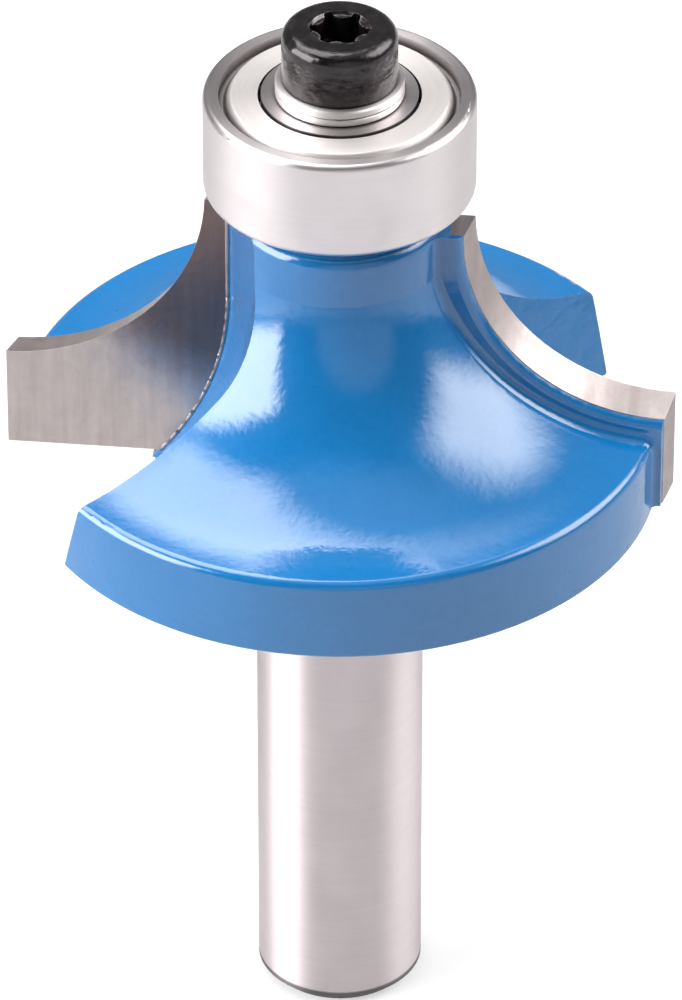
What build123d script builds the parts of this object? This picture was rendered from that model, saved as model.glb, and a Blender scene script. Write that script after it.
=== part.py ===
from build123d import *
import os
from math import cos, radians, sin, sqrt, tan

# Two-flute carbide-tipped rounding-over bit with a ball-bearing guide, in millimetres.
# The axis is Z: the shank end is at Z = 0 and the bearing is at the top.
# The two cutting edges lie in the plane Y = 0, and the bit turns towards +Y at the +X edge.

# Shank and head
shank_diameter = 8.0
shank_length = 29.4
shank_end_chamfer = 0.45
shank_root_fillet = 1.2

# Ball bearing that guides the bit along the work: 3/16 in bore, 1/2 in outside, shielded
bearing_bore = 4.7625
bearing_diameter = 12.7
bearing_width = 4.978
ball_diameter = 2.381
ball_count = 7
ball_circle_diameter = 8.731
race_conformity = 0.52          # race groove radius as a share of the ball diameter
ball_race_clearance = 0.01
land_spacing = 1.43             # radial space between the lands of the two rings
ring_corner_radius = 0.3
bore_corner_radius = 0.15
shield_recess_wall = 0.73       # outer ring's wall beside a shield
shield_recess_depth = 0.76
shield_sheet = 0.2
shield_ring_gap = 0.15          # radial gap between a shield and the inner ring
shield_depth = 0.08             # flat of a shield, below the face of the ring
shield_curl_gap = 0.24          # open groove between a shield's curl and the ring
shield_curl_width = 0.32
shield_bend_radius = 0.12
cage_radial_clearance = 0.2
cage_floor = 0.42               # thickness of the cage under a ball
cage_finger_height = 0.5        # fingers, above the plane of the ball centres
cage_pocket_clearance = 0.06
cage_slot_width = 0.55

# Carbide cutting tips
edge_radius = 9.525             # radius that the bit cuts
tip_height = 14.45
tip_root_width = 1.05           # a tip's width at its top
tip_thickness = 1.75
tip_top_drop = 0.25             # top of the tips, below the centre of the cut radius
tip_relief = 0.36               # how far the profile falls back over the tip's thickness
tip_lift = 0.45                 # bottom of the tips, above the underside of the head
tip_seat_margin = 0.1           # bare seat between the flute floor and a tip

# Head: rear supports of the tips and the two lobes that limit the chip
support_thickness = 0.3
support_step = 0.05             # supports stand this far inside the line of the tip
lobe_step = 1.525               # lobes, inside the cut profile
rim_setback = 0.775             # rim, inside the cutting circle
rim_edge_radius = 0.45
rim_lower_chamfer = 0.1
neck_flare = 0.275              # neck, outside the throat of the lobes' profile
neck_rise = 0.45                # top of the neck, above the tips
neck_edge_radius = 0.7
support_rounding = 0.5          # back of a support, along its outer edge and where it meets a lobe

# Chip flutes
floor_turn = 24.0               # degrees from the cutting edge to the floor's normal
runout_radius = 15.0            # floor curves out to the underside with this radius
runout_drop = 5.45              # start of that curve, below the top of the tips
wall_turn = 45.0                # degrees from the cutting edge to the flute wall
wall_lean = 18.5                # degrees
wall_foot_offset = 1.95         # wall at the underside, ahead of the axis
flute_fillet = 3.4

# Seat of the bearing and its screw
boss_radius = 3.3
boss_height = 1.4
post_clearance = 0.03           # radial, post in the bearing's bore
post_setback = 0.2              # top of the post, below the inner ring's face
post_chamfer = 0.25
washer_radius = 3.0
washer_hole_radius = 1.6
washer_thickness = 0.4
washer_edge = 0.08
screw_diameter = 3.0
screw_length = 10.0
screw_clearance = 0.02          # radial, screw in its hole
screw_hole_spare = 1.0          # hole, beyond the screw's tip
screw_drill_point = 118.0       # degrees, point of the drill that made the hole
screw_tip_chamfer = 0.4
head_diameter = 5.4
head_height = 2.75
head_edge_radius = 0.6
head_lower_edge_radius = 0.15
socket_points = 2.8             # six-lobe socket, across the lobes
socket_flats = 2.05             # across the hollows
socket_hollow_radius = 0.6
socket_lobe_fillet = 0.12
socket_depth = 1.5
socket_countersink = 0.12

# Places that follow from the sizes above
shank_radius = shank_diameter / 2
cut_radius = bearing_diameter / 2 + edge_radius
tip_bottom = shank_length + tip_lift
tip_top = tip_bottom + tip_height
arc_center_z = tip_top + tip_top_drop
rim_radius = cut_radius - rim_setback
lobe_radius = edge_radius + lobe_step
neck_radius = cut_radius - lobe_radius + neck_flare
runout_start = tip_top - runout_drop
neck_top = tip_top + neck_rise
boss_top = tip_top + boss_height
support_depth = tip_thickness + support_thickness
bearing_top = boss_top + bearing_width
bearing_middle = boss_top + bearing_width / 2
post_top = bearing_top - post_setback
post_radius = bearing_bore / 2 - post_clearance
washer_top = bearing_top + 2 * washer_thickness
screw_tip = washer_top - screw_length
ball_radius = ball_diameter / 2
ball_circle_radius = ball_circle_diameter / 2
inner_land_radius = ball_circle_radius - land_spacing / 2
outer_land_radius = ball_circle_radius + land_spacing / 2
outer_radius = bearing_diameter / 2
floor_rake_x = outer_radius - tip_root_width - tip_seat_margin
floor_distance = floor_rake_x * cos(radians(floor_turn))
shield_recess_radius = outer_radius - shield_recess_wall

CUT_MARGIN = 3.0                # how far cutting tools reach past the work
CUT_UNDER = 0.5                 # the same, below the underside of the head
ON_SURFACE = 0.01               # how near a surface a point that lies on it is found


def revolved(face):
    """A full turn of a profile drawn in the XZ plane, about Z."""
    return revolve(face, axis=Axis.Z)


def section(*edges):
    """A closed profile in the XZ plane from edges whose points are (x, 0, z)."""
    return make_face(Curve() + list(edges))


def xz(x, z):
    return (x, 0, z)


def rounded(face, radius, *points):
    """Round the corners of a profile that lie at the points."""
    corners = [face.vertices().sort_by_distance(point)[0] for point in points]
    return fillet(corners, radius)


def bevelled(face, size, point):
    """Chamfer the corner of a profile that lies at the point."""
    return chamfer(face.vertices().sort_by_distance(point)[0], size)


def floor_reach(z):
    """Distance of the flute floor from the axis at height z."""
    drop = max(0.0, runout_start - z)
    return floor_distance + runout_radius - sqrt(runout_radius**2 - drop**2)


def tip_inner_radius():
    """Radius of the lower part of a tip's inner edge, beside the run-out of the floor."""
    drop = runout_start - tip_bottom
    shift = (floor_reach(tip_bottom) - floor_distance) / cos(radians(floor_turn))
    return (drop**2 + shift**2) / (2 * shift)


def tip_inner_x(z):
    """Inner edge of a tip, just outside the line where the floor meets the rake plane."""
    drop = max(0.0, runout_start - z)
    radius = tip_inner_radius()
    straight = floor_rake_x + tip_seat_margin
    return straight + radius - sqrt(radius**2 - drop**2)


def arc_x(z, inset):
    """The cut profile's X at height z, after it moves in and down by the inset."""
    rise = z - (arc_center_z - inset)
    return cut_radius - inset - sqrt(edge_radius**2 - rise**2)


def inner_edges(top, bottom):
    """Inner edge of a tip, from the top down: straight, then following the run-out."""
    middle = (runout_start + bottom) / 2
    straight = Line(xz(tip_inner_x(top), top), xz(tip_inner_x(runout_start), runout_start))
    curve = ThreePointArc(
        xz(tip_inner_x(runout_start), runout_start),
        xz(tip_inner_x(middle), middle),
        xz(tip_inner_x(bottom), bottom),
    )
    return straight, curve


def outer_edges(inset, inner_top, inner_bottom):
    """Top, cut radius, straight edge and bottom of a tip's profile."""
    start = xz(arc_x(tip_top, inset), tip_top)
    end = xz(cut_radius - inset, arc_center_z - inset - edge_radius)
    diagonal = edge_radius * sin(radians(45))
    middle = xz(cut_radius - inset - diagonal, arc_center_z - inset - diagonal)
    foot = xz(cut_radius - inset, tip_bottom)
    return (
        Line(inner_top, start),
        ThreePointArc(start, middle, end),
        Line(end, foot),
        Line(foot, inner_bottom),
    )


def tip_section(inset):
    inner_top = xz(tip_inner_x(tip_top), tip_top)
    inner_bottom = xz(tip_inner_x(tip_bottom), tip_bottom)
    return section(*outer_edges(inset, inner_top, inner_bottom), *inner_edges(tip_top, tip_bottom))


def support_section(inset):
    inner_top = xz(post_radius, tip_top)
    inner_bottom = xz(post_radius, tip_bottom)
    return section(*outer_edges(inset, inner_top, inner_bottom), Line(inner_top, inner_bottom))


def between(front, rear, depth):
    """Solid between a profile in the rake plane and one behind it."""
    return loft([front, Pos(0, -depth, 0) * rear], ruled=True)


def carbide_tip():
    return between(tip_section(0), tip_section(tip_relief), tip_thickness)


def tip_support():
    fall = tip_relief * support_depth / tip_thickness
    return between(support_section(support_step), support_section(support_step + fall), support_depth)


def back_edges(body):
    """Curved edges round the backs of the supports: the outer one and the roots on the lobes."""
    found = []
    for edge in body.edges():
        points = (edge @ 0, edge @ 0.5, edge @ 1)
        on_back = all(abs(abs(point.Y) - support_depth) < ON_SURFACE for point in points)
        if on_back and edge.geom_type != GeomType.LINE:
            found.append(edge)
    return found


def tip_pocket():
    """Everything outside a tip's inner edge, as deep as the tip is thick."""
    top = tip_top + CUT_MARGIN
    bottom = shank_length - CUT_UNDER
    far = cut_radius + CUT_MARGIN
    outline = section(
        *inner_edges(top, bottom),
        Polyline(
            xz(tip_inner_x(bottom), bottom),
            xz(far, bottom),
            xz(far, top),
            xz(tip_inner_x(top), top),
        ),
    )
    deep = extrude(outline, amount=tip_thickness, dir=(0, -1, 0))
    proud = extrude(outline, amount=CUT_MARGIN, dir=(0, 1, 0))
    return deep + proud


def flute_core():
    """The metal left inside the flute floor, drawn across the floor's own direction."""
    top = post_top + 2 * CUT_MARGIN
    bottom = shank_length - CUT_UNDER
    middle = (runout_start + bottom) / 2
    outline = section(
        Polyline(
            xz(floor_reach(bottom), bottom),
            xz(-cut_radius, bottom),
            xz(-cut_radius, top),
            xz(floor_distance, top),
            xz(floor_distance, runout_start),
        ),
        ThreePointArc(
            xz(floor_distance, runout_start),
            xz(floor_reach(middle), middle),
            xz(floor_reach(bottom), bottom),
        ),
    )
    across = extrude(outline, amount=2 * cut_radius, dir=(0, 1, 0), both=True)
    return Rot(0, 0, floor_turn) * across


def beyond_wall():
    """The block behind the leaning flute wall."""
    reach = 4 * cut_radius
    block = Pos(0, reach / 2, 0) * Box(reach, reach, reach)
    foot = Pos(0, -wall_foot_offset, shank_length)
    return Rot(0, 0, wall_turn) * (foot * (Rot(-wall_lean, 0, 0) * block))


def flute_cutter():
    """Space of one flute: ahead of the rake plane, outside the floor and below the wall."""
    height = post_top + CUT_MARGIN - shank_length
    reach = cut_radius + CUT_MARGIN
    quarter = Box(reach, reach, height, align=(Align.MIN, Align.MIN, Align.MIN))
    space = Pos(0, 0, shank_length - CUT_UNDER) * quarter
    space = space - flute_core() - beyond_wall()
    return fillet(wall_root(space), flute_fillet)


def wall_root(space):
    """Edges where the flute's floor meets its wall."""
    normal = Vector(0, -1, 0).rotate(Axis.X, -wall_lean).rotate(Axis.Z, wall_turn)
    foot = Vector(0, -wall_foot_offset, 0).rotate(Axis.Z, wall_turn) + Vector(0, 0, shank_length)
    floor = Vector(1, 0, 0).rotate(Axis.Z, floor_turn)
    found = []
    for edge in space.edges():
        point = edge @ 0.5
        on_wall = abs((point - foot).dot(normal)) < ON_SURFACE
        on_floor = abs(point.dot(floor) - floor_reach(point.Z)) < ON_SURFACE
        if on_wall and on_floor:
            found.append(edge)
    return found


def head_profile():
    """Half section of shank, head, boss and post, before the flutes are cut."""
    lobe_rim_z = arc_center_z - sqrt(lobe_radius**2 - rim_setback**2)
    lobe_neck_z = arc_center_z - sqrt(lobe_radius**2 - (cut_radius - neck_radius) ** 2)
    diagonal = lobe_radius * sin(radians(45))
    lobe = ThreePointArc(
        xz(rim_radius, lobe_rim_z),
        xz(cut_radius - diagonal, arc_center_z - diagonal),
        xz(neck_radius, lobe_neck_z),
    )
    below = Polyline(
        xz(0, 0),
        xz(shank_radius, 0),
        xz(shank_radius, shank_length),
        xz(rim_radius, shank_length),
        xz(rim_radius, lobe_rim_z),
    )
    above = Polyline(
        xz(neck_radius, lobe_neck_z),
        xz(neck_radius, neck_top),
        xz(boss_radius, neck_top),
        xz(boss_radius, boss_top),
        xz(post_radius, boss_top),
        xz(post_radius, post_top),
        xz(0, post_top),
        xz(0, 0),
    )
    face = section(below, lobe, above)
    face = bevelled(face, shank_end_chamfer, xz(shank_radius, 0))
    face = bevelled(face, post_chamfer, xz(post_radius, post_top))
    face = bevelled(face, rim_lower_chamfer, xz(rim_radius, shank_length))
    face = rounded(face, shank_root_fillet, xz(shank_radius, shank_length))
    face = rounded(face, rim_edge_radius, xz(rim_radius, lobe_rim_z))
    return rounded(face, neck_edge_radius, xz(neck_radius, neck_top))


def screw_hole():
    radius = screw_diameter / 2 + screw_clearance
    bottom = screw_tip - screw_hole_spare
    point = radius / tan(radians(screw_drill_point / 2))
    return revolved(
        section(
            Polyline(
                xz(0, bottom - point),
                xz(radius, bottom),
                xz(radius, post_top + CUT_MARGIN),
                xz(0, post_top + CUT_MARGIN),
                xz(0, bottom - point),
            )
        )
    )


def turned_twice(piece):
    return [Rot(0, 0, 180 * side) * piece for side in (0, 1)]


def cutter_body():
    body = revolved(head_profile())
    for support in turned_twice(tip_support()):
        body = body + support
    body = fillet(back_edges(body), support_rounding)
    for flute in turned_twice(flute_cutter()):
        body = body - flute
    for pocket in turned_twice(tip_pocket()):
        body = body - pocket
    return body - screw_hole()


def race_groove(side):
    """Groove circle for the balls; side is 1 in the outer ring and -1 in the inner ring."""
    radius = race_conformity * ball_diameter
    bottom = ball_circle_radius + side * (ball_radius + ball_race_clearance)
    return Pos(bottom - side * radius, 0, bearing_middle) * (Rot(90, 0, 0) * Circle(radius))


def ring_section(inner, outer, bottom, top):
    """Rectangle in the XZ plane between two radii and two heights."""
    middle = Pos((inner + outer) / 2, 0, (bottom + top) / 2)
    return middle * (Rot(90, 0, 0) * Rectangle(outer - inner, top - bottom))


def outer_ring():
    ring = ring_section(outer_land_radius, outer_radius, boss_top, bearing_top) - race_groove(1)
    recess = (outer_land_radius - CUT_UNDER, shield_recess_radius)
    ring = ring - ring_section(*recess, bearing_top - shield_recess_depth, bearing_top + CUT_UNDER)
    ring = ring - ring_section(*recess, boss_top - CUT_UNDER, boss_top + shield_recess_depth)
    corners = (xz(outer_radius, boss_top), xz(outer_radius, bearing_top))
    return revolved(rounded(ring, ring_corner_radius, *corners))


def inner_ring():
    bore_radius = bearing_bore / 2
    ring = ring_section(bore_radius, inner_land_radius, boss_top, bearing_top) - race_groove(-1)
    corners = (xz(bore_radius, boss_top), xz(bore_radius, bearing_top))
    return revolved(rounded(ring, bore_corner_radius, *corners))


def shield(upper):
    """Pressed sheet: a flat, a curl down inside the recess wall, and a flange on its step."""
    inner = inner_land_radius + shield_ring_gap
    flange_z = shield_sheet - shield_recess_depth
    foot = xz(shield_recess_radius - shield_curl_gap, flange_z)
    crest = xz(foot[0] - shield_curl_width, -shield_depth)
    face = section(
        Polyline(
            xz(inner, -shield_depth),
            crest,
            foot,
            xz(shield_recess_radius, flange_z),
            xz(shield_recess_radius, -shield_recess_depth),
            xz(foot[0] - shield_sheet, -shield_recess_depth),
            xz(crest[0] - shield_sheet, -shield_depth - shield_sheet),
            xz(inner, -shield_depth - shield_sheet),
            xz(inner, -shield_depth),
        )
    )
    sheet = revolved(rounded(face, shield_bend_radius, crest, foot))
    if upper:
        return Pos(0, 0, bearing_top) * sheet
    return Pos(0, 0, boss_top) * (Rot(180, 0, 0) * sheet)


def ball_places():
    step = 360 / ball_count
    return [Rot(0, 0, step * i) * Pos(ball_circle_radius, 0, bearing_middle) for i in range(ball_count)]


def ball():
    return Sphere(ball_radius)


def cage():
    """One-piece crown cage: pockets snapped over the balls from below, with open fingers."""
    inner = inner_land_radius + cage_radial_clearance
    outer = outer_land_radius - cage_radial_clearance
    below = ball_radius + cage_floor
    height = below + cage_finger_height
    crown = Cylinder(outer, height) - Cylinder(inner, height)
    crown = Pos(0, 0, bearing_middle - below + height / 2) * crown
    slot = Box(2 * (outer - inner), cage_slot_width, height)
    for place in ball_places():
        crown = crown - place * Sphere(ball_radius + cage_pocket_clearance)
        crown = crown - Rot(0, 0, 180 / ball_count) * (place * (Pos(0, 0, cage_floor) * slot))
    return crown


def washer(index):
    ring = Cylinder(washer_radius, washer_thickness) - Cylinder(washer_hole_radius, washer_thickness)
    ring = fillet(ring.edges().filter_by(GeomType.CIRCLE).group_by(SortBy.RADIUS)[-1], washer_edge)
    return Pos(0, 0, bearing_top + (index + 0.5) * washer_thickness) * ring


def socket():
    """Six-lobe drive recess with its mouth at Z = 0."""
    star = Circle(socket_points / 2)
    for i in range(6):
        hollow = Pos(socket_flats / 2 + socket_hollow_radius, 0) * Circle(socket_hollow_radius)
        star = star - Rot(0, 0, 60 * i + 30) * hollow
    star = fillet(star.vertices(), socket_lobe_fillet)
    recess = extrude(star, amount=-socket_depth)
    radius = socket_points / 2
    mouth = Cone(radius - socket_countersink, radius + socket_countersink, 2 * socket_countersink)
    return recess + mouth


def screw():
    head_top = washer_top + head_height
    radius = screw_diameter / 2
    face = section(
        Polyline(
            xz(0, screw_tip),
            xz(radius, screw_tip),
            xz(radius, washer_top),
            xz(head_diameter / 2, washer_top),
            xz(head_diameter / 2, head_top),
            xz(0, head_top),
            xz(0, screw_tip),
        )
    )
    face = bevelled(face, screw_tip_chamfer, xz(radius, screw_tip))
    face = rounded(face, head_edge_radius, xz(head_diameter / 2, head_top))
    face = rounded(face, head_lower_edge_radius, xz(head_diameter / 2, washer_top))
    return revolved(face) - Pos(0, 0, head_top) * socket()


def all_nodes():
    nodes = {"cutter_body": cutter_body()}
    for number, tip in enumerate(turned_twice(carbide_tip()), start=1):
        nodes[f"carbide_tip_{number}"] = tip
    nodes["bearing_outer_ring"] = outer_ring()
    nodes["bearing_inner_ring"] = inner_ring()
    nodes["bearing_shield_lower"] = shield(upper=False)
    nodes["bearing_shield_upper"] = shield(upper=True)
    nodes["bearing_cage"] = cage()
    for number, place in enumerate(ball_places(), start=1):
        nodes[f"bearing_ball_{number}"] = place * ball()
    nodes["washer_lower"] = washer(0)
    nodes["washer_upper"] = washer(1)
    nodes["bearing_screw"] = screw()
    return nodes


os.makedirs("parts", exist_ok=True)
for name, shape in all_nodes().items():
    export_step(shape, f"parts/{name}.step")
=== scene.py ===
import random
from math import cos, pi, radians, sin

import bpy
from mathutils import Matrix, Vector


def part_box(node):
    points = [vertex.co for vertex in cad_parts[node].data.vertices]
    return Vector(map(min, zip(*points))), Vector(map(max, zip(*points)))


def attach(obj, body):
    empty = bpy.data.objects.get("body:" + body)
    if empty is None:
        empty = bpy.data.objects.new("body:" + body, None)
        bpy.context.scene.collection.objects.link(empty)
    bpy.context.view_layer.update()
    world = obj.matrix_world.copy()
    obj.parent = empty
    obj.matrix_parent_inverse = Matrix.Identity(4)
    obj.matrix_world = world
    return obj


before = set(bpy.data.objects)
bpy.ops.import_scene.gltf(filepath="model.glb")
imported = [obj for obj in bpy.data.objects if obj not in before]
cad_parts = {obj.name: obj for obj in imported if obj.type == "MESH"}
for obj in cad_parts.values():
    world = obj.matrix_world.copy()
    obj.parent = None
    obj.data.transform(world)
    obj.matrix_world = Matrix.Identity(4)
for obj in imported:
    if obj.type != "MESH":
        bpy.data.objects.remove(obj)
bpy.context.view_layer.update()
MM = 0.001

# ------------------------------------------------ camera and floor (metres)
CAMERA_DISTANCE = 420 * MM
CAMERA_AZIMUTH = 6.18
CAMERA_ELEVATION = 35.38
CAMERA_PIVOT = Vector((0, 0, 29.66 * MM))
CAMERA_AIM_HEIGHT = 27.56 * MM
CAMERA_AIM_SIDE = 0.058 * MM
CAMERA_LENS = 318.42
CAMERA_SENSOR = 36.0
CAMERA_NEAR = 0.01
CAMERA_FAR = 50.0
FLOOR_SIZE = 6.0

# ------------------------------------------------ light
LAMP_DISTANCE = 0.5
LAMPS = (
    # name, azimuth, elevation, width, height, radiance, share of its size over which it fades
    ("left_box", -75, 22, 0.52, 0.46, 7.8, 0.2),
    ("back_box", -130, 63, 0.52, 0.46, 4.6, 0.3),
    ("right_box", 100, 37, 0.62, 0.56, 5.5, 0.35),
    ("rear_box", 178, 61, 0.38, 0.28, 2.0, 0.5),
)
FLOOR_PAINT = (0.45, 0.45, 0.45, 1)
FLOOR_SEEN = 0.55
FLOOR_MIRRORED = 0.26
FLOOR_FADE = (-10 * MM, 60 * MM)    # the mirrored floor fades out between these depths
ROOM_SEEN = 1.0
ROOM_DIFFUSE = 0.30
ROOM_FRONT = 0.12
ROOM_BACK = 0.27
ROOM_OVERHEAD = 0.6
ROOM_PATCH = 0.55
PATCH_AZIMUTH = 14
PATCH_ELEVATION = -4
PATCH_OUTER = 42
PATCH_INNER = 27

# ------------------------------------------------ where the coat ends on the body (metres)
SHANK_END = 0.45 * MM
# the shank is made dark at its foot up to this height
SHANK_DARK_FOOT_TOP = 0.72 * MM
SHANK_TOP = 28.2 * MM
SHANK_WIDEST = 5.1 * MM
SEAT_RADIUS = 3.4 * MM
SEAT_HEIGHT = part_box("bearing_inner_ring")[0].z - 0.9 * MM
COAT_SLOT, SHANK_SLOT, SEAT_SLOT, END_SLOT = range(4)

# ------------------------------------------------ braze along the tips' inner edges (metres)
ON_RAKE_PLANE = 0.001 * MM
TIP_INNER_FOOT = 9 * MM
TIP_INNER_TOP = 6 * MM
TIP_BEND_HEIGHT = 35 * MM
BEAD_STEP = 0.22 * MM
BEAD_SIDES = 10
BEAD_HALF_WIDTH = 0.09 * MM
BEAD_HALF_HEIGHT = 0.04 * MM
BEAD_SWELL = (0.88, 1.08)
BEAD_END_SWELL = 0.3

# ------------------------------------------------ wear, painted edge highlights and painted shade in corners
BEVEL_SAMPLES = 6
EDGE_RANGE = (0.02, 0.35)           # how far the rounded normal leaves the flat one
CREVICE_SHADE_SAMPLES = 8
CREVICE_SHADE_REACH = 0.55 * MM
CREVICE_SHADE_RANGE = (0.30, 0.78)          # share of the sky that a corner with painted shade still sees
# colour of the painted shade in gaps and corners
CREVICE_SHADE_COLOUR = (0.05, 0.04, 0.04, 1)
ACROSS_THE_LINES = 0.25             # turn of the anisotropy that stretches highlights across the lines


def direction(azimuth, elevation):
    """A unit vector from the part: azimuth 0 is towards the camera and 90 to the camera's right."""
    turn = radians(CAMERA_AZIMUTH + azimuth)
    rise = radians(elevation)
    return Vector((sin(turn) * cos(rise), -cos(turn) * cos(rise), sin(rise)))


# ================================================ node helpers
def feed(tree, socket, value):
    """Sets a socket to a plain value, or links an output to it."""
    if isinstance(value, bpy.types.NodeSocket):
        tree.links.new(value, socket)
    else:
        socket.default_value = value


def shader_node(tree, kind, inputs=None, **settings):
    made = tree.nodes.new(kind)
    for name, value in settings.items():
        setattr(made, name, value)
    for name, value in (inputs or {}).items():
        feed(tree, made.inputs[name], value)
    return made


def calc(tree, operation, first, second=0.0, third=0.0, clamp=False):
    made = shader_node(tree, "ShaderNodeMath", operation=operation, use_clamp=clamp)
    for socket, value in zip(made.inputs, (first, second, third)):
        feed(tree, socket, value)
    return made.outputs[0]


def vector_calc(tree, operation, first, second):
    return shader_node(
        tree, "ShaderNodeVectorMath", {0: first, 1: second}, operation=operation
    ).outputs


def parts_of(tree, vector):
    """The X, Y and Z of a vector."""
    return shader_node(tree, "ShaderNodeSeparateXYZ", {0: vector}).outputs


def spread(tree, value, low, high, to_low=0.0, to_high=1.0, smooth=False):
    """Maps value from low..high to to_low..to_high, clamped."""
    places = {
        "Value": value, "From Min": low, "From Max": high, "To Min": to_low, "To Max": to_high,
    }
    kind = "SMOOTHSTEP" if smooth else "LINEAR"
    return shader_node(tree, "ShaderNodeMapRange", places, interpolation_type=kind).outputs["Result"]


def blend_colour(tree, share, first, second, mode="MIX"):
    made = shader_node(tree, "ShaderNodeMix", data_type="RGBA", blend_type=mode)
    feed(tree, made.inputs[0], share)
    feed(tree, made.inputs[6], first)
    feed(tree, made.inputs[7], second)
    return made.outputs[2]


def blend_part(tree, factor, mask, first, second):
    """Blends a colour in where the mask is 1, by the factor."""
    return blend_colour(tree, calc(tree, "MULTIPLY", mask, factor), first, second)


def place(tree):
    """The point in the frame, in metres: the same for every node, because no object is moved."""
    return shader_node(tree, "ShaderNodeTexCoord").outputs["Object"]


def stretched(tree, vector, factors):
    return vector_calc(tree, "MULTIPLY", vector, factors)[0]


def round_axis(tree, radius):
    """Turns a point into (arc length at that radius, distance from the axis, height), in metres."""
    x, y, height = parts_of(tree, place(tree))
    arc = calc(tree, "MULTIPLY", calc(tree, "ARCTAN2", y, x), radius)
    away = calc(tree, "SQRT", calc(tree, "MULTIPLY_ADD", x, x, calc(tree, "MULTIPLY", y, y)))
    return shader_node(tree, "ShaderNodeCombineXYZ", {0: arc, 1: away, 2: height}).outputs[0]


def grain(tree, vector, size, detail=3.0, rough=0.55, twist=0.0):
    """Noise from 0 to 1 with features of the given size in metres."""
    values = {
        "Vector": vector, "Scale": 1 / size, "Detail": detail, "Roughness": rough,
        "Distortion": twist,
    }
    return shader_node(tree, "ShaderNodeTexNoise", values).outputs["Fac"]


def edges(tree, radius):
    """1 on edges and corners, 0 on open faces."""
    rounded = shader_node(
        tree, "ShaderNodeBevel", {"Radius": radius}, samples=BEVEL_SAMPLES
    ).outputs[0]
    flat = shader_node(tree, "ShaderNodeNewGeometry").outputs["Normal"]
    match = vector_calc(tree, "DOT_PRODUCT", rounded, flat)["Value"]
    return spread(tree, calc(tree, "SUBTRACT", 1.0, match), *EDGE_RANGE, smooth=True)


def painted_crevice_shade(tree, reach):
    """1 deep in gaps and corners, 0 on open faces: the mask of the shade painted there."""
    sky = shader_node(
        tree, "ShaderNodeAmbientOcclusion", {"Distance": reach}, samples=CREVICE_SHADE_SAMPLES
    ).outputs["AO"]
    return spread(tree, sky, *CREVICE_SHADE_RANGE, 1.0, 0.0, smooth=True)


def relief(tree, height, distance, under=None):
    """A bump from a height of 0 to 1 that stands for the distance in metres."""
    values = {"Height": height, "Distance": distance, "Strength": 1.0}
    if under is not None:
        values["Normal"] = under
    return shader_node(tree, "ShaderNodeBump", values).outputs["Normal"]


def new_material(name, **plain):
    """A material with one Principled shader, whose plain values go on its own sockets."""
    made = bpy.data.materials.new(name)
    made.use_nodes = True
    shader = made.node_tree.nodes["Principled BSDF"]
    for socket, value in plain.items():
        shader.inputs[socket.replace("_", " ")].default_value = value
    return made, made.node_tree, shader


def finish_with(tree, shader, **linked):
    """Feeds the shader's sockets that vary from place to place."""
    for socket, value in linked.items():
        feed(tree, shader.inputs[socket.replace("_", " ")], value)


# ================================================ materials
def blue_lacquer():
    """Glossy blue coat with a fine orange peel, thinner along its edges and paler there with a painted
    highlight.
    """
    made, tree, shader = new_material(
        "blue_lacquer", IOR=1.2, Coat_Weight=1.0, Coat_Roughness=0.09, Coat_IOR=1.76
    )
    deep, full = (0.001, 0.146, 0.405, 1), (0.002, 0.170, 0.460, 1)
    flecked, thin_coat_and_edge_highlight = (0.02, 0.27, 0.60, 1), (0.16, 0.38, 0.70, 1)
    point = place(tree)
    cloud = spread(tree, grain(tree, point, 5 * MM, 4), 0.3, 0.7)
    fleck = spread(tree, grain(tree, point, 0.35 * MM, 2), 0.35, 0.75)
    patchy = spread(tree, grain(tree, point, 0.4 * MM), 0.35, 0.6)
    # painted highlight: the coat is made paler along its edges, where it is also thinner
    thin_coat_and_highlight_mask = calc(tree, "MULTIPLY", edges(tree, 0.25 * MM), patchy)
    colour = blend_colour(tree, cloud, deep, full)
    colour = blend_part(tree, 0.12, fleck, colour, flecked)
    colour = blend_part(tree, 0.45, thin_coat_and_highlight_mask, colour, thin_coat_and_edge_highlight)
    gloss = spread(tree, grain(tree, point, 1.1 * MM, 4), 0.3, 0.7, 0.26, 0.40)
    peel = relief(tree, grain(tree, point, 0.95 * MM, 2), 0.013 * MM)
    fine = relief(tree, grain(tree, point, 0.26 * MM, 2), 0.005 * MM, under=peel)
    finish_with(tree, shader, Base_Color=colour, Roughness=gloss, Normal=fine, Coat_Normal=fine)
    return made


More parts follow.
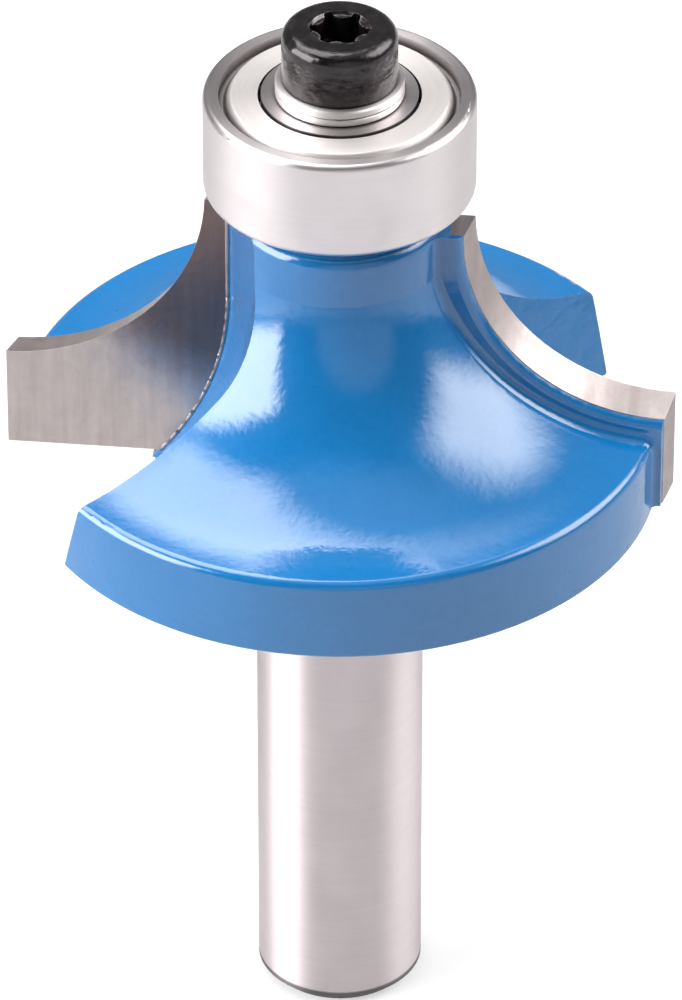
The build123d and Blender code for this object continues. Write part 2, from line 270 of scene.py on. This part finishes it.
def turned_metal(name, pale, dark, radius, line, depth, rough, across=0.0, dark_foot_top=None, **plain):
    """Ground or turned steel with fine lines round the axis.

    line and depth are the size of the lines. across says how far they follow the radius, on faces that
    lie flat. Below the height given for the dark foot, the steel is made dark.
    """
    made, tree, shader = new_material(name, Metallic=1.0, **plain)
    smeared, painted_edge_highlight, foot_dark = (0.46, 0.42, 0.38, 1), (0.92, 0.91, 0.90, 1), (0.11, 0.10, 0.105, 1)
    polar = round_axis(tree, radius)
    scratch = grain(tree, stretched(tree, polar, (0.012, across, 1.0)), line, 5, 0.62)
    band = grain(tree, stretched(tree, polar, (0.03, across, 1.0)), line * 9, 3)
    smudge = spread(tree, grain(tree, place(tree), 3.2 * MM, 5, 0.6, 0.8), 0.35, 0.72)
    fine_share = calc(tree, "MULTIPLY", scratch, 0.6)
    share = calc(tree, "ADD", fine_share, calc(tree, "MULTIPLY", band, 0.4))
    colour = blend_colour(tree, spread(tree, share, 0.25, 0.75), dark, pale)
    colour = blend_part(tree, 0.10, smudge, colour, smeared)
    # painted highlight: the steel is made paler along its edges
    colour = blend_part(tree, 0.5, edges(tree, 0.12 * MM), colour, painted_edge_highlight)
    # painted shade: the steel is darkened in gaps and corners, where shade falls
    colour = blend_part(tree, 0.95, painted_crevice_shade(tree, CREVICE_SHADE_REACH), colour, CREVICE_SHADE_COLOUR)
    # the steel is made dark at its foot, up to the given height, with a ragged top
    if dark_foot_top is not None:
        height = calc(tree, "MULTIPLY_ADD", band, -0.12 * MM, parts_of(tree, polar)[2])
        foot_darkening = spread(tree, height, dark_foot_top - 0.16 * MM, dark_foot_top, 0.88, 0.0, smooth=True)
        colour = blend_colour(tree, foot_darkening, colour, foot_dark)
    wide_share = calc(tree, "MULTIPLY", band, 0.5)
    dull = calc(tree, "ADD", wide_share, calc(tree, "MULTIPLY", smudge, 0.5))
    gloss = spread(tree, dull, 0.2, 0.8, *rough)
    finish_with(
        tree, shader, Base_Color=colour, Roughness=gloss, Normal=relief(tree, scratch, depth)
    )
    return made


def carbide():
    """Ground carbide: fine lines across each face, faint mottling and a painted highlight along its
    cutting edge and other edges.

    Its rake face, in the plane Y = 0, is smoother than its relief and darkened towards the body by a
    painted dark reflection.
    """
    made, tree, shader = new_material("carbide", Metallic=1.0)
    dark, pale = (0.45, 0.39, 0.38, 1), (0.54, 0.48, 0.47, 1)
    mottled, specked = (0.38, 0.33, 0.325, 1), (0.30, 0.27, 0.26, 1)
    painted_dark_reflection, painted_edge_highlight = (0.46, 0.36, 0.32, 1), (0.86, 0.82, 0.79, 1)
    point = place(tree)
    across = grain(tree, stretched(tree, point, (1.0, 0.02, 0.05)), 0.05 * MM, 4, 0.6)
    wide = grain(tree, stretched(tree, point, (1.0, 0.03, 0.08)), 0.5 * MM, 3)
    mottle = spread(tree, grain(tree, point, 0.9 * MM, 4, 0.6, 0.5), 0.35, 0.7)
    speck = spread(tree, grain(tree, point, 0.16 * MM, 3), 0.55, 0.80)
    colour = blend_colour(tree, spread(tree, wide, 0.3, 0.7), dark, pale)
    colour = blend_part(tree, 0.35, mottle, colour, mottled)
    colour = blend_part(tree, 0.22, speck, colour, specked)
    x, y, height = parts_of(tree, point)
    rake = spread(tree, calc(tree, "ABSOLUTE", y), 0.01 * MM, 0.03 * MM, 1.0, 0.0)
    inward = calc(tree, "MULTIPLY_ADD", calc(tree, "ABSOLUTE", x), -0.61, height)
    inward = calc(tree, "MULTIPLY_ADD", mottle, 0.5 * MM, inward)
    # painted dark reflection: the rake face is darkened towards the body
    dark_reflection_fade = spread(tree, inward, 28.3 * MM, 32.6 * MM, smooth=True)
    dark_reflection_share = calc(tree, "MULTIPLY", rake, dark_reflection_fade)
    colour = blend_colour(tree, dark_reflection_share, colour, painted_dark_reflection, mode="MULTIPLY")
    # painted highlight along the carbide's edges
    colour = blend_part(tree, 0.55, edges(tree, 0.08 * MM), colour, painted_edge_highlight)
    matt = calc(tree, "MULTIPLY_ADD", rake, -0.14, 0.14)
    gloss = calc(tree, "ADD", spread(tree, mottle, 0, 1, 0.28, 0.38), matt)
    ground = relief(tree, across, 0.0012 * MM)
    skin = relief(tree, mottle, 0.006 * MM, under=ground)
    finish_with(tree, shader, Base_Color=colour, Roughness=gloss, Normal=skin)
    return made


def black_oxide():
    """Oiled black oxide over a turned and slightly dented skin, bared to steel on its edges by
    rubbing, with painted glints there.
    """
    made, tree, shader = new_material(
        "black_oxide", Metallic=0.85, Coat_Weight=0.7, Coat_Roughness=0.08
    )
    black, brown, rubbed_steel_and_glint = (0.014, 0.010, 0.012, 1), (0.042, 0.034, 0.036, 1), (0.52, 0.47, 0.48, 1)
    point = place(tree)
    cloud = spread(tree, grain(tree, point, 0.8 * MM, 4), 0.3, 0.7)
    patchy = spread(tree, grain(tree, point, 0.35 * MM), 0.38, 0.56)
    # edges bared to steel by rubbing, and made paler there with painted glints
    rub_and_glint_mask = calc(tree, "MULTIPLY", edges(tree, 0.28 * MM), patchy)
    colour = blend_colour(tree, cloud, black, brown)
    colour = blend_part(tree, 0.85, rub_and_glint_mask, colour, rubbed_steel_and_glint)
    gloss = spread(tree, cloud, 0, 1, 0.18, 0.34)
    dents = relief(tree, grain(tree, point, 0.7 * MM, 1.5), 0.05 * MM)
    turned = stretched(tree, round_axis(tree, 2.7 * MM), (0.06, 1.0, 1.0))
    skin = relief(tree, grain(tree, turned, 0.14 * MM, 3), 0.012 * MM, under=dents)
    finish_with(tree, shader, Base_Color=colour, Roughness=gloss, Normal=skin, Coat_Normal=skin)
    return made


def braze_alloy():
    """Silver braze that crept out of the joint: grey, dulled in patches where it grew hot."""
    made, tree, shader = new_material("braze_alloy", Metallic=0.9)
    clean, dulled, painted_edge_highlight = (0.50, 0.46, 0.45, 1), (0.32, 0.28, 0.27, 1), (0.62, 0.58, 0.56, 1)
    point = place(tree)
    patch = spread(tree, grain(tree, point, 1.6 * MM, 4), 0.35, 0.7)
    colour = blend_colour(tree, patch, clean, dulled)
    # painted highlight along the bead's edges
    colour = blend_part(tree, 0.3, edges(tree, 0.05 * MM), colour, painted_edge_highlight)
    gloss = spread(tree, patch, 0, 1, 0.30, 0.48)
    skin = relief(tree, grain(tree, point, 0.12 * MM, 3), 0.01 * MM)
    finish_with(tree, shader, Base_Color=colour, Roughness=gloss, Normal=skin)
    return made


def ball_steel():
    """Chrome steel balls, polished, with faint marks from rolling."""
    made, tree, shader = new_material("ball_steel", Metallic=1.0)
    dark, pale = (0.74, 0.73, 0.72, 1), (0.86, 0.85, 0.85, 1)
    marks = grain(tree, stretched(tree, place(tree), (0.2, 0.2, 1.0)), 0.06 * MM, 3)
    colour = blend_colour(tree, spread(tree, marks, 0.35, 0.7), dark, pale)
    gloss = spread(tree, marks, 0.3, 0.7, 0.05, 0.12)
    skin = relief(tree, marks, 0.0005 * MM)
    finish_with(tree, shader, Base_Color=colour, Roughness=gloss, Normal=skin)
    return made


def cage_nylon():
    """Off-white moulded nylon with a fine matt grain."""
    made, tree, shader = new_material("cage_nylon", Subsurface_Weight=0.15)
    dark, pale, nylon_edge_highlight = (0.68, 0.63, 0.52, 1), (0.78, 0.74, 0.64, 1), (0.88, 0.86, 0.80, 1)
    point = place(tree)
    cloud = spread(tree, grain(tree, point, 0.7 * MM, 4), 0.3, 0.7)
    colour = blend_colour(tree, cloud, dark, pale)
    # painted highlight: the nylon is made paler along its edges
    colour = blend_part(tree, 0.4, edges(tree, 0.1 * MM), colour, nylon_edge_highlight)
    gloss = spread(tree, cloud, 0, 1, 0.42, 0.56)
    skin = relief(tree, grain(tree, point, 0.07 * MM, 3), 0.006 * MM)
    finish_with(tree, shader, Base_Color=colour, Roughness=gloss, Normal=skin)
    return made


# ================================================ dressing the CAD nodes
def put_material(node, *materials):
    """Gives a CAD node its materials, in place of the ones it came with."""
    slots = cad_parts[node].data.materials
    slots.clear()
    for one in materials:
        slots.append(one)


def body_slot(centre):
    """The slot of a face of the body, by the face's centre."""
    from_axis = centre.xy.length
    if centre.z < SHANK_END:
        return END_SLOT
    if centre.z < SHANK_TOP and from_axis < SHANK_WIDEST:
        return SHANK_SLOT
    if centre.z > SEAT_HEIGHT and from_axis < SEAT_RADIUS:
        return SEAT_SLOT
    return COAT_SLOT


def dress_body():
    """The head is coated; the shank, the dark end of it, and the bearing's seat and post are bare."""
    coat = blue_lacquer()
    shank = turned_metal(
        "ground_shank", pale=(0.79, 0.71, 0.72, 1), dark=(0.69, 0.615, 0.625, 1), radius=4 * MM,
        line=0.035 * MM, depth=0.0012 * MM, rough=(0.40, 0.46), dark_foot_top=SHANK_DARK_FOOT_TOP,
        Anisotropic=0.89, Anisotropic_Rotation=ACROSS_THE_LINES,
    )
    seat = turned_metal(
        "turned_seat", pale=(0.60, 0.59, 0.58, 1), dark=(0.44, 0.43, 0.42, 1), radius=3 * MM,
        line=0.05 * MM, depth=0.003 * MM, rough=(0.28, 0.38), across=1.0,
    )
    # the end face and its chamfer are made very dark
    end = turned_metal(
        "shank_end", pale=(0.16, 0.145, 0.15, 1), dark=(0.09, 0.08, 0.085, 1), radius=4 * MM,
        line=0.06 * MM, depth=0.003 * MM, rough=(0.38, 0.50), across=1.0,
    )
    put_material("cutter_body", coat, shank, seat, end)
    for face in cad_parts["cutter_body"].data.polygons:
        face.material_index = body_slot(face.center)


def dress_rest():
    """Every other CAD node takes the finish that its name starts with."""
    ring = turned_metal(
        "bearing_steel", pale=(0.82, 0.76, 0.77, 1), dark=(0.74, 0.685, 0.695, 1), radius=6 * MM,
        line=0.03 * MM, depth=0.0006 * MM, rough=(0.28, 0.36), across=1.0,
        Anisotropic=0.7, Anisotropic_Rotation=ACROSS_THE_LINES,
    )
    shield = turned_metal(
        "shield_steel", pale=(0.86, 0.815, 0.80, 1), dark=(0.74, 0.70, 0.69, 1), radius=5 * MM,
        line=0.045 * MM, depth=0.0015 * MM, rough=(0.52, 0.62), across=1.0,
        Anisotropic=0.4, Anisotropic_Rotation=ACROSS_THE_LINES,
    )
    washer = turned_metal(
        "washer_steel", pale=(0.92, 0.88, 0.87, 1), dark=(0.78, 0.74, 0.73, 1), radius=3 * MM,
        line=0.04 * MM, depth=0.0012 * MM, rough=(0.50, 0.60), across=1.0,
        Anisotropic=0.7, Anisotropic_Rotation=ACROSS_THE_LINES,
    )
    finishes = {
        "carbide_tip": carbide(),
        "bearing_outer_ring": ring,
        "bearing_inner_ring": ring,
        "bearing_shield": shield,
        "bearing_cage": cage_nylon(),
        "bearing_ball": ball_steel(),
        "washer": washer,
        "bearing_screw": black_oxide(),
    }
    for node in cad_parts:
        for start, finish in finishes.items():
            if node.startswith(start):
                put_material(node, finish)


# ================================================ braze
def in_scene(name, mesh):
    """A new object that holds the mesh."""
    made = bpy.data.objects.new(name, mesh)
    bpy.context.scene.collection.objects.link(made)
    return made


def inner_edge(node):
    """The corner where a tip's rake face meets the body, as points from its bottom to its top."""
    found = []
    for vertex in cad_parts[node].data.vertices:
        point = vertex.co
        away = abs(point.x)
        inside = away < TIP_INNER_FOOT and (point.z < TIP_BEND_HEIGHT or away < TIP_INNER_TOP)
        if abs(point.y) < ON_RAKE_PLANE and inside:
            found.append(point.copy())
    return sorted(found, key=lambda point: point.z)


def evenly(points, step):
    """The same line with points at an even step."""
    made = []
    for start, end in zip(points, points[1:]):
        count = max(1, round((end - start).length / step))
        made += [start.lerp(end, i / count) for i in range(count)]
    return made + [points[-1]]


def bead_points(line, chance):
    """One ring of points round each point of the line, each ring a little wider or narrower."""
    last = len(line) - 1
    points = []
    for index, centre in enumerate(line):
        ahead = line[min(index + 1, last)] - line[max(index - 1, 0)]
        across = ahead.cross(Vector((0, 1, 0))).normalized()
        swell = chance.uniform(*BEAD_SWELL) if 0 < index < last else BEAD_END_SWELL
        for step in range(BEAD_SIDES):
            turn = 2 * pi * step / BEAD_SIDES
            up = Vector((0, sin(turn) * BEAD_HALF_HEIGHT, 0))
            points.append(centre + (across * cos(turn) * BEAD_HALF_WIDTH + up) * swell)
    return points


def bead_faces(rings):
    """The two ends, and the sides between each ring of points and the next."""
    last = (rings - 1) * BEAD_SIDES
    faces = [tuple(range(BEAD_SIDES)), tuple(last + step for step in reversed(range(BEAD_SIDES)))]
    for here in range(0, last, BEAD_SIDES):
        ahead = here + BEAD_SIDES
        for step in range(BEAD_SIDES):
            beside = (step + 1) % BEAD_SIDES
            faces.append((here + beside, here + step, ahead + step, ahead + beside))
    return faces


def braze_bead(name, node, finish):
    """A narrow uneven bead of braze along a tip's inner edge."""
    line = evenly(inner_edge(node), BEAD_STEP)
    faces = bead_faces(len(line))
    mesh = bpy.data.meshes.new(name)
    mesh.from_pydata(bead_points(line, random.Random(name)), [], faces)
    mesh.polygons.foreach_set("use_smooth", [True] * len(faces))
    mesh.materials.append(finish)
    bead = in_scene(name, mesh)
    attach(bead, "bit")


def make_braze():
    finish = braze_alloy()
    braze_bead("braze_bead_1", "carbide_tip_1", finish)
    braze_bead("braze_bead_2", "carbide_tip_2", finish)


# ================================================ stage
def make_camera():
    data = bpy.data.cameras.new("camera")
    data.lens = CAMERA_LENS
    data.sensor_width = CAMERA_SENSOR
    data.clip_start = CAMERA_NEAR
    data.clip_end = CAMERA_FAR
    camera = in_scene("camera", data)
    camera.location = CAMERA_PIVOT + direction(0, CAMERA_ELEVATION) * CAMERA_DISTANCE
    aim = Vector((0, 0, CAMERA_AIM_HEIGHT)) + direction(90, 0) * CAMERA_AIM_SIDE
    camera.rotation_mode = "QUATERNION"
    camera.rotation_quaternion = (aim - camera.location).to_track_quat("-Z", "Y")
    bpy.context.scene.camera = camera


def ray_share(tree, camera, glossy, other):
    """A value that depends on the kind of ray alone; transmission counts as camera."""
    rays = shader_node(tree, "ShaderNodeLightPath").outputs
    seen = calc(tree, "ADD", rays["Is Camera Ray"], rays["Is Transmission Ray"], clamp=True)
    unseen = shader_node(tree, "ShaderNodeMix", {0: rays["Is Glossy Ray"], 2: other, 3: glossy})
    return shader_node(tree, "ShaderNodeMix", {0: seen, 2: unseen.outputs[0], 3: camera}).outputs[0]


def floor_paint():
    made = bpy.data.materials.new("floor")
    made.use_nodes = True
    tree = made.node_tree
    tree.nodes.clear()
    pale = shader_node(tree, "ShaderNodeBsdfDiffuse", {"Color": FLOOR_PAINT}).outputs[0]
    depth = parts_of(tree, place(tree))[1]
    mirrored = spread(tree, depth, *FLOOR_FADE, FLOOR_MIRRORED, 0.0, smooth=True)
    strength = ray_share(tree, FLOOR_SEEN, mirrored, 0.0)
    glow = shader_node(tree, "ShaderNodeEmission", {"Strength": strength}).outputs[0]
    both = shader_node(tree, "ShaderNodeAddShader", {0: pale, 1: glow}).outputs[0]
    shader_node(tree, "ShaderNodeOutputMaterial", {"Surface": both})
    return made


def make_floor():
    """A plain pale floor that reads white and keeps the soft shadow of the part."""
    signs = ((-1, -1), (1, -1), (1, 1), (-1, 1))
    mesh = bpy.data.meshes.new("floor")
    mesh.from_pydata([(x * FLOOR_SIZE, y * FLOOR_SIZE, 0) for x, y in signs], [], [(0, 1, 2, 3)])
    mesh.materials.append(floor_paint())
    floor = in_scene("floor", mesh)


def make_world():
    """White where it is seen straight, and otherwise a dim room with a pale patch low in front."""
    world = bpy.data.worlds.new("room")
    world.use_nodes = True
    bpy.context.scene.world = world
    tree = world.node_tree
    tree.nodes.clear()
    towards = shader_node(tree, "ShaderNodeTexCoord").outputs["Generated"]
    _, depth, height = parts_of(tree, towards)
    dim = spread(tree, depth, -0.3, 0.6, ROOM_FRONT, ROOM_BACK, smooth=True)
    high = spread(tree, height, 0.85, 1.0, 0.0, ROOM_OVERHEAD, smooth=True)
    patch = direction(PATCH_AZIMUTH, PATCH_ELEVATION)
    facing = vector_calc(tree, "DOT_PRODUCT", towards, patch)["Value"]
    outer, inner = cos(radians(PATCH_OUTER)), cos(radians(PATCH_INNER))
    pale = spread(tree, facing, outer, inner, 0.0, ROOM_PATCH, smooth=True)
    room = calc(tree, "ADD", calc(tree, "ADD", dim, high), pale)
    strength = ray_share(tree, ROOM_SEEN, room, ROOM_DIFFUSE)
    glow = shader_node(tree, "ShaderNodeBackground", {"Strength": strength}).outputs[0]
    shader_node(tree, "ShaderNodeOutputWorld", {"Surface": glow})


def fade(data, edge):
    """Lets a softbox fade towards its sides, over the given share of its width and height."""
    data.use_nodes = True
    tree = data.node_tree
    across = shader_node(tree, "ShaderNodeNewGeometry").outputs["Parametric"]
    strength = 1.0
    for side in parts_of(tree, across)[:2]:
        from_middle = calc(tree, "ABSOLUTE", calc(tree, "SUBTRACT", side, 0.5))
        inside = calc(tree, "SUBTRACT", 0.5, from_middle)
        strength = calc(tree, "MULTIPLY", strength, spread(tree, inside, 0.0, edge, smooth=True))
    feed(tree, tree.nodes["Emission"].inputs["Strength"], strength)


def softbox(name, azimuth, elevation, width, height, radiance, edge):
    """A rectangular area lamp that faces the part; width and height in metres."""
    data = bpy.data.lights.new(name, "AREA")
    data.shape = "RECTANGLE"
    data.size = width
    data.size_y = height
    data.energy = radiance * pi * width * height
    fade(data, edge)
    lamp = in_scene(name, data)
    away = direction(azimuth, elevation)
    lamp.location = CAMERA_PIVOT + away * LAMP_DISTANCE
    lamp.rotation_mode = "QUATERNION"
    lamp.rotation_quaternion = away.to_track_quat("Z", "Y")
    lamp.visible_camera = False


def make_lights():
    for lamp in LAMPS:
        softbox(*lamp)


dress_body()
dress_rest()
make_braze()
make_camera()
make_floor()
make_world()
make_lights()
bpy.context.scene.view_settings.view_transform = "Standard"
